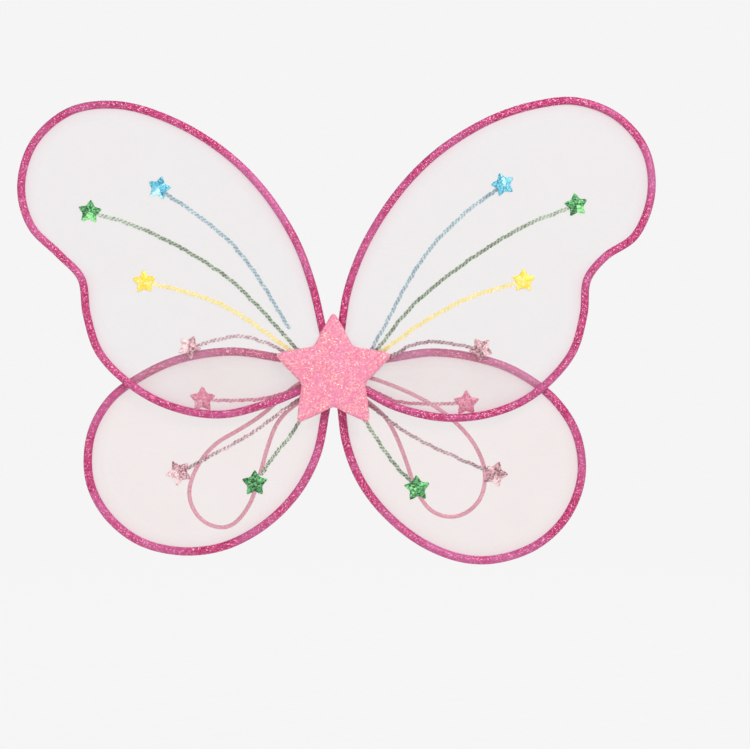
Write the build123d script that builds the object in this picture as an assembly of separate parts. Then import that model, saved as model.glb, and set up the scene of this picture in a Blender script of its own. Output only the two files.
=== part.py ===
from build123d import *
import os
from math import cos, hypot, pi, radians, sin, sqrt, tan

# Child's dress-up fairy wings, worn upright. Millimetres, +Z up, +X to the wearer's right.
# The decorated front faces -Y and the wearer stands on the +Y side. The origin is the middle
# of the back pad's rear face, level with the middle of the big star.

# Layers, as Y positions from the wearer's side to the front
PAD_REAR_Y = 0.0
PAD_THICKNESS = 5.0
LOWER_LOBE_Y = -9.5
UPPER_LOBE_Y = -16.5
FELT_REAR_Y = -20.5
FELT_THICKNESS = 1.0
FOAM_THICKNESS = 4.0
COVER_THICKNESS = 0.6

# Frame tubes and panels
WIRE_RADIUS = 1.0
CASING_BORE_RADIUS = 1.1
UPPER_CASING_RADIUS = 3.25
LOWER_CASING_RADIUS = 3.45
PANEL_THICKNESS = 0.3
PANEL_EDGE_DEPTH = 1.2  # how far the organza's edge is sewn into the casing

# Hub
HINGE_X = 5.0
HINGE_Y = -13.0
CRIMP_RADIUS = 3.0
CHANNEL_CLEARANCE = 0.08
CRIMP_HALF_HEIGHT = 18.0
CRIMP_BLOCK = (5.5, 10.0)  # X and Y size of the pressed blocks that grip the wires
CRIMP_BLOCK_OFFSET = 1.25  # the blocks' middle lies this much further out than the hinge line
MID_BLOCK_HALF_HEIGHT = 7.0
END_BLOCK_HEIGHT = 8.0
CHANNEL_Z = (8.0, 16.0)
CHANNEL_HALF_WIDTH = 9.5
CHANNEL_FRONT_Y = -17.0
CHANNEL_WEB_HALF_WIDTH = 3.0

# Back pad and strap tabs
PAD_WIDTH = 19.0
PAD_HEIGHT = 52.0
PAD_MIDDLE_Z = 2.0
PAD_CORNER_RADIUS = 6.0
PAD_EDGE_RADIUS = 1.5
TAB_WIDTH = 2.8
TAB_DEPTH = 4.0
TAB_HEIGHT = 22.0
TAB_MIDDLE_Z = -8.0
TAB_EDGE_RADIUS = 0.6

# Big star
STAR_TIP_RADIUS = 48.0
STAR_INNER_RADIUS = 26.5
STAR_TIP_ROUNDING = 3.0
STAR_FRONT_ROUNDING = 0.9

# Small stars and strands
UPPER_SMALL_STAR_RADIUS = 9.9
LOWER_SMALL_STAR_RADIUS = 10.8
SMALL_STAR_INNER_SHARE = 0.56
SMALL_STAR_RIM = 1.2
SMALL_STAR_CROWN = 1.8
SMALL_STAR_TAPER = 33.0
STRAND_WIDTH = 2.8
STRAND_THICKNESS = 1.2

# Arm loops
STRAP_RADIUS = 1.75
STRAP_X = 15.5
STRAP_Y = -3.0
STRAP_LEAN = 16.0  # the loop's plane leans back this far from the wings, in degrees
STRAP_ARC_SHARE = 0.45
KNOT_RADIUS = 2.8

# Each lobe's outline as (x, z). The first and last points are where the wire ends sit in the
# root crimp, and the second and last but one are where the casing begins and ends.
LOBES = {
    "upper_left": [
        (-7.5, 20), (-7.5, 29), (-17, 70), (-31, 107), (-57, 147), (-87, 176.5), (-127, 201),
        (-172, 214.5), (-211, 209.5), (-240, 184), (-250, 149), (-242, 118), (-220, 95.5),
        (-202, 76), (-197.5, 47), (-187, 16), (-159, -11.5), (-127, -27.5), (-90, -33),
        (-52, -24), (-20, -11), (-6, -5),
    ],
    "upper_right": [
        (5.2, 20), (5.2, 29), (11.5, 67), (27, 106.5), (54.5, 148), (85, 178), (126, 203),
        (163, 215), (195, 217.5), (227, 205), (249.5, 178), (254, 143), (241, 110),
        (217, 93), (203, 75), (200, 47), (190, 15), (159, -17.5), (126, -32), (88, -35.5),
        (49, -26.5), (20, -11), (6, -5),
    ],
    "lower_left": [
        (-6, 5), (-18, 8.2), (-46, 12.8), (-82, 17.5), (-123.5, 11.5), (-154, -2),
        (-179.5, -21), (-195, -49), (-196.5, -85), (-183, -113), (-157, -134.5),
        (-124, -143), (-90, -139.5), (-58, -123.5), (-31, -97.5), (-14, -66), (-6, -27),
        (-6, -20),
    ],
    "lower_right": [
        (6, 5), (18, 8.2), (45, 12.2), (81, 16.8), (120.5, 11), (149, 0), (177.5, -21.5),
        (195, -49), (199, -83), (187, -115), (163, -138), (130, -149.5), (102, -148.5),
        (70, -135.5), (40, -111), (21, -85), (10, -56), (6, -27), (6, -20),
    ],
}
# Between the casing's two ends the panels are cut back: the lower ones round the strap knots,
# and the upper ones round the root crimp. Each (|x|, z) runs from the outline's end to its start.
PANEL_NOTCHES = {"lower": [(20.5, -20), (21.5, 1)], "upper": [(13, 20)]}

# Each small star: middle, turn in degrees from point-up, and the strand from it to the hub
SPRAYS = {
    "upper_left": {
        "blue": ((-139.5, 148), -14, [(-139.5, 148), (-87, 109), (-64, 82), (-36, 36.5)]),
        "green": ((-195, 129), -6, [(-195, 129), (-152, 115), (-85, 76.5), (-27, 17)]),
        "yellow": ((-151.5, 73), 3, [(-151.5, 73), (-114, 64), (-83, 51.5), (-31, 16)]),
        "mauve": ((-115.5, 21), -26, [(-115.5, 21), (-76, 29.5), (-56, 25), (-35, 15)]),
    },
    "lower_left": {
        "rose": ((-105.5, -21), 0, [(-105.5, -21), (-72, -21.8), (-47, -18.3), (-24, -8.5)]),
        "mauve": ((-124.5, -80), 28, [(-124.5, -80), (-64, -47), (-41, -30), (-24, -17.5)]),
        "green": ((-63.5, -88.5), 0, [(-63.5, -88.5), (-46, -63.5), (-36, -52), (-24.5, -33)]),
    },
    "upper_right": {
        "blue": ((135.5, 151), 17, [(135.5, 151), (97, 120.7), (70, 89.5), (28.5, 15.5)]),
        "green": ((194, 134.5), 9, [(194, 134.5), (147.5, 115), (70, 60.5), (32.2, 16)]),
        "yellow": ((152, 74), 0, [(152, 74), (109, 60.5), (74, 42), (36.5, 15.8)]),
        "mauve": ((118, 19.5), 30, [(118, 19.5), (78, 25.2), (62, 22), (42, 11)]),
    },
    "lower_right": {
        "rose": ((106.5, -24), 0, [(106.5, -24), (74, -24.6), (51.5, -22.6), (25, -11)]),
        "mauve": ((129.5, -81), -19, [(129.5, -81), (80, -59.3), (57, -46.8), (24, -22)]),
        "green": ((67, -92.5), 4, [(67, -92.5), (46, -69.5), (35, -53.5), (22, -33)]),
    },
}

# Arm loops as seen from the front, as (x, z), from the upper knot round to the lower one
STRAP_ROUTES = {
    "left": [
        (-15.5, -2), (-27.7, -7.1), (-42.1, -18.8), (-58.6, -34.1), (-78.4, -46.6),
        (-99.4, -58), (-115.3, -78.2), (-122.2, -102), (-110, -122.9), (-86.8, -128.5),
        (-69.6, -110.2), (-60.7, -83.5), (-54, -58), (-45.7, -37.6), (-30.6, -24.3),
        (-15.5, -14),
    ],
    "right": [
        (15.5, -2), (27.9, -3), (43.1, -8.1), (62.6, -16.3), (82.1, -26.6), (100.8, -41),
        (116.4, -59.2), (125.3, -81.5), (121.1, -105.1), (102.8, -119.1), (80, -115.5),
        (66.1, -95.8), (59.3, -73.6), (50.8, -51.3), (42.1, -35.5), (29, -24.1),
        (15.5, -14),
    ],
}

SIDES = {"left": -1, "right": 1}
STAR_POINTS = 5


def at(point, y):
    """A front-view (x, z) point at depth y."""
    return Vector(point[0], y, point[1])


def unit(a, b):
    """The unit (x, z) direction from a to b."""
    length = hypot(b[0] - a[0], b[1] - a[1])
    return ((b[0] - a[0]) / length, (b[1] - a[1]) / length)


def tangents(points, first=None, last=None):
    """A direction at each point: that of the circle through it and its two neighbours."""
    found = []
    for before, here, after in zip(points, points[1:], points[2:]):
        u, v = unit(before, here), unit(here, after)
        reach_in = hypot(here[0] - before[0], here[1] - before[1])
        reach_out = hypot(after[0] - here[0], after[1] - here[1])
        mixed = [u[k] * reach_out + v[k] * reach_in for k in (0, 1)]
        found.append(unit((0, 0), mixed))
    start = first or mirrored(found[0], unit(points[0], points[1]))
    end = last or mirrored(found[-1], unit(points[-2], points[-1]))
    return [start, *found, end]


def mirrored(direction, chord):
    """The direction at a chord's other end, where one arc joins both ends."""
    along = 2 * (direction[0] * chord[0] + direction[1] * chord[1])
    return (along * chord[0] - direction[0], along * chord[1] - direction[1])


def arc_nodes(points, first=None, last=None):
    """(point, direction) pairs that one smooth chain of arcs runs through, two arcs a span."""
    ways = tangents(points, first, last)
    nodes = [(points[0], ways[0])]
    for (p, t), (q, w) in zip(zip(points, ways), zip(points[1:], ways[1:])):
        v = (q[0] - p[0], q[1] - p[1])
        both = v[0] * (t[0] + w[0]) + v[1] * (t[1] + w[1])
        spread = 2 * (1 - t[0] * w[0] - t[1] * w[1])
        square = v[0] ** 2 + v[1] ** 2
        # both arcs' tangent lengths, written so that parallel ends don't divide by zero
        reach = square / (both + sqrt(both**2 + spread * square))
        middle = tuple((p[k] + q[k] + reach * (t[k] - w[k])) / 2 for k in (0, 1))
        turn_in = tuple(p[k] + reach * t[k] for k in (0, 1))
        turn_out = tuple(q[k] - reach * w[k] for k in (0, 1))
        nodes += [(middle, unit(turn_in, turn_out)), (q, w)]
    return nodes


def arcs(nodes, y, aside=0.0):
    """The chain's edges at depth y, moved aside to its left, or to its right if negative."""
    edges = []
    for (p, t), (q, w) in zip(nodes, nodes[1:]):
        start = at((p[0] - aside * t[1], p[1] + aside * t[0]), y)
        end = at((q[0] - aside * w[1], q[1] + aside * w[0]), y)
        edges.append(TangentArc(start, end, tangent=at(t, 0)))
    return edges


def casing_nodes(lobe):
    """The arc chain between a lobe's casing ends, aimed at its wire ends in the crimp."""
    outline = LOBES[lobe]
    return arc_nodes(
        outline[1:-1], unit(outline[0], outline[1]), unit(outline[-2], outline[-1])
    )


def lobe_y(lobe):
    return UPPER_LOBE_Y if lobe.startswith("upper") else LOWER_LOBE_Y


def inward(lobe):
    """+1 where the lobe's inside lies left of its outline's direction, and -1 on its right."""
    return 1 if lobe.endswith("left") else -1


def make_wire(lobe):
    outline, y = LOBES[lobe], lobe_y(lobe)
    path = Wire(
        [
            Line(at(outline[0], y), at(outline[1], y)),
            *arcs(casing_nodes(lobe), y),
            Line(at(outline[-2], y), at(outline[-1], y)),
        ]
    )
    start = Plane(path @ 0, z_dir=path % 0)
    return sweep(start * Circle(WIRE_RADIUS), path=path)


def make_casing(lobe):
    radius = UPPER_CASING_RADIUS if lobe.startswith("upper") else LOWER_CASING_RADIUS
    path = Wire(arcs(casing_nodes(lobe), lobe_y(lobe)))
    start = Plane(path @ 0, z_dir=path % 0)
    return sweep(start * (Circle(radius) - Circle(CASING_BORE_RADIUS)), path=path)


def make_panel(lobe):
    """The organza, with its edge sewn a little way into the casing."""
    radius = UPPER_CASING_RADIUS if lobe.startswith("upper") else LOWER_CASING_RADIUS
    front_y = lobe_y(lobe) - PANEL_THICKNESS / 2
    aside = inward(lobe) * (radius - PANEL_EDGE_DEPTH)
    edge = arcs(casing_nodes(lobe), front_y, aside)
    notch = PANEL_NOTCHES[lobe.split("_")[0]]
    turns = [at((-inward(lobe) * x, z), front_y) for x, z in notch]
    closing = Polyline(edge[-1] @ 1, *turns, edge[0] @ 0)
    face = make_face([*edge, *closing.edges()])
    return extrude(face, amount=PANEL_THICKNESS, dir=(0, 1, 0))


def star_outline(tip_radius, inner_radius, turn=0.0):
    """The star's ten corners as (x, z), point up before it is turned anticlockwise."""
    corners = []
    for k in range(2 * STAR_POINTS):
        angle = pi / 2 + radians(turn) + k * pi / STAR_POINTS
        reach = tip_radius if k % 2 == 0 else inner_radius
        corners.append((reach * cos(angle), reach * sin(angle)))
    return corners


def star_face(corners, middle, y):
    return make_face(
        Polyline(*[at((middle[0] + x, middle[1] + z), y) for x, z in corners], close=True)
    )


def big_star_slab(rear_y, thickness, set_in):
    """A slab of the big star's shape, its straight edges moved in by set_in."""
    half = pi / STAR_POINTS
    side = sqrt(
        STAR_TIP_RADIUS**2
        + STAR_INNER_RADIUS**2
        - 2 * STAR_TIP_RADIUS * STAR_INNER_RADIUS * cos(half)
    )
    edge_distance = STAR_TIP_RADIUS * STAR_INNER_RADIUS * sin(half) / side
    share = 1 - set_in / edge_distance
    corners = star_outline(STAR_TIP_RADIUS * share, STAR_INNER_RADIUS * share)
    slab = extrude(star_face(corners, (0, 0), rear_y), amount=thickness, dir=(0, -1, 0))
    reach = 0.9 * STAR_TIP_RADIUS * share
    tips = [e for e in slab.edges().filter_by(Axis.Y) if hypot(e.center().X, e.center().Z) > reach]
    return fillet(tips, STAR_TIP_ROUNDING)


def make_star_pieces():
    foam_rear_y = FELT_REAR_Y - FELT_THICKNESS
    felt = big_star_slab(FELT_REAR_Y, FELT_THICKNESS, 0.0)
    foam = big_star_slab(foam_rear_y, FOAM_THICKNESS, COVER_THICKNESS)
    cover = big_star_slab(foam_rear_y, FOAM_THICKNESS + COVER_THICKNESS, 0.0) - foam
    front = cover.faces().sort_by(Axis.Y)[0]
    cover = fillet(front.outer_wire().edges(), STAR_FRONT_ROUNDING * COVER_THICKNESS)
    return {"star_cover": cover, "star_foam": foam, "star_backing": felt}


def make_small_star(lobe, colour):
    middle, turn, _ = SPRAYS[lobe][colour]
    upper = lobe.startswith("upper")
    tip = UPPER_SMALL_STAR_RADIUS if upper else LOWER_SMALL_STAR_RADIUS
    corners = star_outline(tip, tip * SMALL_STAR_INNER_SHARE, turn)
    rear_y = lobe_y(lobe) - PANEL_THICKNESS / 2
    rim = extrude(star_face(corners, middle, rear_y), amount=SMALL_STAR_RIM, dir=(0, -1, 0))
    crown_base = Plane(at(middle, rear_y - SMALL_STAR_RIM), x_dir=(1, 0, 0), z_dir=(0, -1, 0))
    flat = Polygon(*corners, align=None)
    crown = extrude(crown_base * flat, amount=SMALL_STAR_CROWN, taper=SMALL_STAR_TAPER)
    return rim + crown


def make_strand(lobe, colour, star, others):
    """A flat strip on the organza's front, along one smooth chain of arcs, that stops at its
    small star and at the strands that were laid before it."""
    rear_y = lobe_y(lobe) - PANEL_THICKNESS / 2
    nodes = arc_nodes(SPRAYS[lobe][colour][2])
    one_side = arcs(nodes, rear_y, STRAND_WIDTH / 2)
    other_side = arcs(nodes, rear_y, -STRAND_WIDTH / 2)
    ends = [
        Line(one_side[0] @ 0, other_side[0] @ 0),
        Line(one_side[-1] @ 1, other_side[-1] @ 1),
    ]
    strip = extrude(
        make_face([*one_side, *other_side, *ends]), amount=STRAND_THICKNESS, dir=(0, -1, 0)
    )
    for piece in (star, *others):
        strip -= piece
    return strip.solids().sort_by(SortBy.VOLUME)[-1]


def make_root_crimp(side):
    """A round journal with three pressed blocks, bored for the ends of the four wires."""
    sign = SIDES[side]
    x, block_x = sign * HINGE_X, sign * (HINGE_X + CRIMP_BLOCK_OFFSET)
    crimp = Pos(x, HINGE_Y, 0) * Cylinder(CRIMP_RADIUS, 2 * CRIMP_HALF_HEIGHT)
    blocks = {
        0: 2 * MID_BLOCK_HALF_HEIGHT,
        CRIMP_HALF_HEIGHT + END_BLOCK_HEIGHT / 2: END_BLOCK_HEIGHT,
        -CRIMP_HALF_HEIGHT - END_BLOCK_HEIGHT / 2: END_BLOCK_HEIGHT,
    }
    for z, height in blocks.items():
        crimp += Pos(block_x, HINGE_Y, z) * Box(*CRIMP_BLOCK, height)
    for lobe in (f"upper_{side}", f"lower_{side}"):
        outline, y = LOBES[lobe], lobe_y(lobe)
        for inner, outer in (outline[:2], outline[:-3:-1]):
            bore = Plane(at(inner, y), z_dir=at(outer, y) - at(inner, y))
            length = hypot(outer[0] - inner[0], outer[1] - inner[1])
            tool = extrude(bore * Circle(WIRE_RADIUS), amount=length)
            crimp -= tool
    return crimp


def make_channel(sign):
    """A band of the hub that both root crimps turn in, with a web forward to the big star."""
    low, high = CHANNEL_Z
    z, height = sign * (low + high) / 2, high - low
    pad_front_y = PAD_REAR_Y - PAD_THICKNESS
    depth = pad_front_y - CHANNEL_FRONT_Y
    block = Pos(0, pad_front_y - depth / 2, z) * Box(2 * CHANNEL_HALF_WIDTH, depth, height)
    web_depth = CHANNEL_FRONT_Y - FELT_REAR_Y
    web = Pos(0, CHANNEL_FRONT_Y - web_depth / 2, z)
    block += web * Box(2 * CHANNEL_WEB_HALF_WIDTH, web_depth, height)
    for x in (-HINGE_X, HINGE_X):
        block -= Pos(x, HINGE_Y, z) * Cylinder(CRIMP_RADIUS + CHANNEL_CLEARANCE, height)
    return block


def make_back_pad():
    face = Plane((0, PAD_REAR_Y, PAD_MIDDLE_Z), x_dir=(1, 0, 0), z_dir=(0, -1, 0))
    outline = RectangleRounded(PAD_WIDTH, PAD_HEIGHT, PAD_CORNER_RADIUS)
    pad = extrude(face * outline, amount=PAD_THICKNESS)
    rear = pad.faces().sort_by(Axis.Y)[-1]
    return fillet(rear.outer_wire().edges(), PAD_EDGE_RADIUS)


def make_strap_tab(side):
    middle_x = SIDES[side] * (PAD_WIDTH + TAB_WIDTH) / 2
    middle_y = PAD_REAR_Y - PAD_THICKNESS / 2
    tab = Pos(middle_x, middle_y, TAB_MIDDLE_Z) * Box(TAB_WIDTH, TAB_DEPTH, TAB_HEIGHT)
    outer = tab.faces().sort_by(Axis.X)[0 if side == "left" else -1]
    return fillet(outer.outer_wire().edges(), TAB_EDGE_RADIUS)


def strap_points(side):
    """The loop's route: its front view, leaning back from the upright line of its knots."""
    lean = tan(radians(STRAP_LEAN))
    return [
        Vector(x, STRAP_Y + (abs(x) - STRAP_X) * lean, z) for x, z in STRAP_ROUTES[side]
    ]


def make_strap(side):
    points = strap_points(side)
    radii = []
    for before, here, after in zip(points, points[1:], points[2:]):
        turn = radians((here - before).get_angle(after - here))
        shorter = min((here - before).length, (after - here).length)
        radii.append(STRAP_ARC_SHARE * shorter / tan(turn / 2))
    path = FilletPolyline(*points, radius=radii)
    start = Plane(path @ 0, z_dir=path % 0)
    strap = sweep(start * Circle(STRAP_RADIUS), path=path)
    knots = [Pos(p) * Sphere(KNOT_RADIUS) for p in (points[0], points[-1])]
    for knot in knots:
        strap -= knot
    runs = [(b - a).length for a, b in zip(points, points[1:])]
    expected = pi * STRAP_RADIUS**2 * (path.length - 2 * KNOT_RADIUS)
    print(f"strap_{side}: length {path.length:.1f}, volume share {strap.volume / expected:.4f}")
    print("  runs", [round(r, 1) for r in runs])
    print("  radii", [round(r, 1) for r in radii])
    return strap, Compound(children=knots)


def make_parts():
    parts = make_star_pieces()
    parts["back_pad"] = make_back_pad()
    parts["channel_upper"] = make_channel(1)
    parts["channel_lower"] = make_channel(-1)
    for side in SIDES:
        parts[f"strap_tab_{side}"] = make_strap_tab(side)
        parts[f"root_crimp_{side}"] = make_root_crimp(side)
        parts[f"strap_{side}"], parts[f"strap_knots_{side}"] = make_strap(side)
    for lobe, spray in SPRAYS.items():
        parts[f"wire_{lobe}"] = make_wire(lobe)
        parts[f"casing_{lobe}"] = make_casing(lobe)
        parts[f"panel_{lobe}"] = make_panel(lobe)
        strands = []
        for colour in spray:
            star = make_small_star(lobe, colour)
            strands.append(make_strand(lobe, colour, star, strands))
            parts[f"star_{lobe}_{colour}"] = star
            parts[f"strand_{lobe}_{colour}"] = strands[-1]
    return parts


os.makedirs("parts", exist_ok=True)
for name, solid in make_parts().items():
    export_step(solid, f"parts/{name}.step")
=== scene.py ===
import math
import random

import bpy
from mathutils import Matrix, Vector, noise


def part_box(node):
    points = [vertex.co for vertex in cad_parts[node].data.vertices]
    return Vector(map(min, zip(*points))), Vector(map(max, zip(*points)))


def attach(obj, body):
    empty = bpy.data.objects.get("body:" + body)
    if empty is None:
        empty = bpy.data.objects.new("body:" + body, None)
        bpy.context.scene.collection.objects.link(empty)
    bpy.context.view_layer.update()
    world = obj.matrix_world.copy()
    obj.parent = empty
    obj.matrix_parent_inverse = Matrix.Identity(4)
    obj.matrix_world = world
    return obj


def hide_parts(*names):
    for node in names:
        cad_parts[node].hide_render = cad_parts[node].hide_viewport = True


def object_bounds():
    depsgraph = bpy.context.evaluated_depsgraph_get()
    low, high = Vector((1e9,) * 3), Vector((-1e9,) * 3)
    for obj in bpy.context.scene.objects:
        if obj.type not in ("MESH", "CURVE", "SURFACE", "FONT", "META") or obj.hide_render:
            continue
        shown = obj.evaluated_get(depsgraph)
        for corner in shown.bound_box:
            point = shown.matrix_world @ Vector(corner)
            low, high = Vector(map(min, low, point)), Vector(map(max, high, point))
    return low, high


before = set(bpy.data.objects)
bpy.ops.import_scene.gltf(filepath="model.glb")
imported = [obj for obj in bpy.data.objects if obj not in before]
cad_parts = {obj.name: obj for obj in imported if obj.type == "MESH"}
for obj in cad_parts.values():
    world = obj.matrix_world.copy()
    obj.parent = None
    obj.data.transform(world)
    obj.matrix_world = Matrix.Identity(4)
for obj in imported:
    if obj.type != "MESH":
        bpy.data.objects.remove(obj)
cad_low, cad_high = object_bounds()

# ---------------- driving sizes, in metres
MM = 0.001
STAR_FRONT_Y, STAR_REAR_Y = (corner.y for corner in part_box("star_cover"))
STAR_TIP_RADIUS = 48 * MM
STAR_INNER_RADIUS = 26.5 * MM
SMALL_STAR_INNER_SHARE = 0.56
SMALL_TIP_RADIUS = {"upper": 9.9 * MM, "lower": 10.8 * MM}
STRAP_DIAMETER = 3.5 * MM
STRAP_LEAN = math.radians(16)
DEPTH = Vector((0, 1, 0))  # towards the wearer

# The lobes' outlines as (x, z) in millimetres, between the casings' ends
LOBES = {
    "upper_left": [
        (-7.5, 29), (-17, 70), (-31, 107), (-57, 147), (-87, 176.5), (-127, 201),
        (-172, 214.5), (-211, 209.5), (-240, 184), (-250, 149), (-242, 118), (-220, 95.5),
        (-202, 76), (-197.5, 47), (-187, 16), (-159, -11.5), (-127, -27.5), (-90, -33),
        (-52, -24), (-20, -11),
    ],
    "upper_right": [
        (5.2, 29), (11.5, 67), (27, 106.5), (54.5, 148), (85, 178), (126, 203),
        (163, 215), (195, 217.5), (227, 205), (249.5, 178), (254, 143), (241, 110),
        (217, 93), (203, 75), (200, 47), (190, 15), (159, -17.5), (126, -32), (88, -35.5),
        (49, -26.5), (20, -11),
    ],
    "lower_left": [
        (-18, 8.2), (-46, 12.8), (-82, 17.5), (-123.5, 11.5), (-154, -2),
        (-179.5, -21), (-195, -49), (-196.5, -85), (-183, -113), (-157, -134.5),
        (-124, -143), (-90, -139.5), (-58, -123.5), (-31, -97.5), (-14, -66), (-6, -27),
    ],
    "lower_right": [
        (18, 8.2), (45, 12.2), (81, 16.8), (120.5, 11), (149, 0), (177.5, -21.5),
        (195, -49), (199, -83), (187, -115), (163, -138), (130, -149.5), (102, -148.5),
        (70, -135.5), (40, -111), (21, -85), (10, -56), (6, -27),
    ],
}
# The panels are cut back between the casing's ends.
PANEL_NOTCHES = {"lower": [(20.5, -20), (21.5, 1)], "upper": [(13, 20)]}
# A point well inside each lobe, seen from which the whole outline is in sight
LOBE_MIDDLES = {
    "upper_left": (-120, 85), "upper_right": (120, 85),
    "lower_left": (-98, -62), "lower_right": (98, -62),
}

# Each small star's turn in degrees from point-up, and its strand's route from its middle
SPRAYS = {
    "upper_left": {
        "blue": (-14, [(-139.5, 148), (-87, 109), (-64, 82), (-36, 36.5)]),
        "green": (-6, [(-195, 129), (-152, 115), (-85, 76.5), (-27, 17)]),
        "yellow": (3, [(-151.5, 73), (-114, 64), (-83, 51.5), (-31, 16)]),
        "mauve": (-26, [(-115.5, 21), (-76, 29.5), (-56, 25), (-35, 15)]),
    },
    "lower_left": {
        "rose": (0, [(-105.5, -21), (-72, -21.8), (-47, -18.3), (-24, -8.5)]),
        "mauve": (28, [(-124.5, -80), (-64, -47), (-41, -30), (-24, -17.5)]),
        "green": (0, [(-63.5, -88.5), (-46, -63.5), (-36, -52), (-24.5, -33)]),
    },
    "upper_right": {
        "blue": (17, [(135.5, 151), (97, 120.7), (70, 89.5), (28.5, 15.5)]),
        "green": (9, [(194, 134.5), (147.5, 115), (70, 60.5), (32.2, 16)]),
        "yellow": (0, [(152, 74), (109, 60.5), (74, 42), (36.5, 15.8)]),
        "mauve": (30, [(118, 19.5), (78, 25.2), (62, 22), (42, 11)]),
    },
    "lower_right": {
        "rose": (0, [(106.5, -24), (74, -24.6), (51.5, -22.6), (25, -11)]),
        "mauve": (-19, [(129.5, -81), (80, -59.3), (57, -46.8), (24, -22)]),
        "green": (4, [(67, -92.5), (46, -69.5), (35, -53.5), (22, -33)]),
    },
}

# The arm loops' front views as (x, z) in metres, from the upper knot round to the lower one
STRAP_ROUTES = {
    "left": [
        (-0.0155, -0.002), (-0.0277, -0.0071), (-0.0421, -0.0188), (-0.0586, -0.0341),
        (-0.0784, -0.0466), (-0.0994, -0.058), (-0.1153, -0.0782), (-0.1222, -0.102),
        (-0.11, -0.1229), (-0.0868, -0.1285), (-0.0696, -0.1102), (-0.0607, -0.0835),
        (-0.054, -0.058), (-0.0457, -0.0376), (-0.0306, -0.0243), (-0.0155, -0.014),
    ],
    "right": [
        (0.0155, -0.002), (0.0279, -0.003), (0.0431, -0.0081), (0.0626, -0.0163),
        (0.0821, -0.0266), (0.1008, -0.041), (0.1164, -0.0592), (0.1253, -0.0815),
        (0.1211, -0.1051), (0.1028, -0.1191), (0.08, -0.1155), (0.0661, -0.0958),
        (0.0593, -0.0736), (0.0508, -0.0513), (0.0421, -0.0355), (0.029, -0.0241),
        (0.0155, -0.014),
    ],
}


def level_of(lobe):
    return lobe.split("_")[0]


def wing_of(lobe):
    return lobe.split("_")[1] + "_wing"


def lobe_y(lobe):
    low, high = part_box(f"panel_{lobe}")
    return (low.y + high.y) / 2


def tube_radius(lobe):
    low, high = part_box(f"casing_{lobe}")
    return (high.y - low.y) / 2


# ---------------- mesh helpers
def linked(name, data):
    """A new object in the scene that holds data."""
    made = bpy.data.objects.new(name, data)
    bpy.context.scene.collection.objects.link(made)
    return made


def new_mesh(name, verts, faces, material):
    mesh = bpy.data.meshes.new(name)
    mesh.from_pydata([tuple(v) for v in verts], [], faces)
    mesh.materials.append(material)
    return mesh


def make_object(name, verts, faces, material, body, smooth=True):
    mesh = new_mesh(name, verts, faces, material)
    mesh.polygons.foreach_set("use_smooth", [smooth] * len(mesh.polygons))
    mesh.update()
    piece = linked(name, mesh)
    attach(piece, body)
    return piece


def paint_tones(piece, tones):
    """Stores one 0 to 1 tone a face, which the piece's material turns into colour."""
    attribute = piece.data.attributes.new("tone", "FLOAT", "FACE")
    attribute.data.foreach_set("value", tones)


def curve_through(points, step):
    """Points about step apart on a smooth curve through the given ones (centripetal)."""
    pts = [Vector(p) for p in points]
    ends = [2 * pts[0] - pts[1], *pts, 2 * pts[-1] - pts[-2]]
    found = []
    for p0, p1, p2, p3 in zip(ends, ends[1:], ends[2:], ends[3:]):
        d1, d2, d3 = (math.sqrt((b - a).length) for a, b in ((p0, p1), (p1, p2), (p2, p3)))
        m1 = ((p1 - p0) / d1 - (p2 - p0) / (d1 + d2) + (p2 - p1) / d2) * d2
        m2 = ((p2 - p1) / d2 - (p3 - p1) / (d2 + d3) + (p3 - p2) / d3) * d2
        count = max(2, round((p2 - p1).length / step))
        for k in range(count):
            t = k / count
            found.append(
                (2 * t**3 - 3 * t**2 + 1) * p1
                + (t**3 - 2 * t**2 + t) * m1
                + (3 * t**2 - 2 * t**3) * p2
                + (t**3 - t**2) * m2
            )
    return [*found, pts[-1]]


def band_faces(rings, count):
    """The quads between closed rings of count points each, in order."""
    faces = []
    for r in range(rings - 1):
        for k in range(count):
            a, b = r * count + k, r * count + (k + 1) % count
            faces.append((a, b, b + count, a + count))
    return faces


def capped_tube(first, rings, sides):
    """The faces of a closed tube whose rings of sides points start at vertex first."""
    count = rings * sides
    ends = [tuple(range(sides - 1, -1, -1)), tuple(range(count - sides, count))]
    return [tuple(first + k for k in face) for face in band_faces(rings, sides) + ends]


def rounded(a, corner, b, t):
    """The point t of the way round a soft corner, from a to b."""
    return (1 - t) ** 2 * a + 2 * t * (1 - t) * corner + t * t * b


def box_of(node_name):
    """The middle and the half size of a CAD node's box."""
    low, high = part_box(node_name)
    return (low + high) / 2, (high - low) / 2


def in_plane(points_mm, y):
    return [Vector((x * MM, y, z * MM)) for x, z in points_mm]


def directions(line):
    """The unit way along the line at each of its points."""
    ways = [(b - a).normalized() for a, b in zip(line, line[2:])]
    return [(line[1] - line[0]).normalized(), *ways, (line[-1] - line[-2]).normalized()]


def planar_tube(line, radius_at, sides):
    """A closed tube along a line in an upright plane. radius_at(step, angle) is in metres."""
    verts = []
    for i, (point, way) in enumerate(zip(line, directions(line))):
        aside = way.cross(DEPTH)
        for k in range(sides):
            angle = 2 * math.pi * k / sides
            reach = radius_at(i, angle)
            verts.append(point + reach * (math.cos(angle) * aside + math.sin(angle) * DEPTH))
    return verts, capped_tube(0, len(line), sides)


# ---------------- materials
def new_material(name):
    material = bpy.data.materials.new(name)
    material.use_nodes = True
    tree = material.node_tree
    tree.nodes.clear()
    return material, tree


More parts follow.
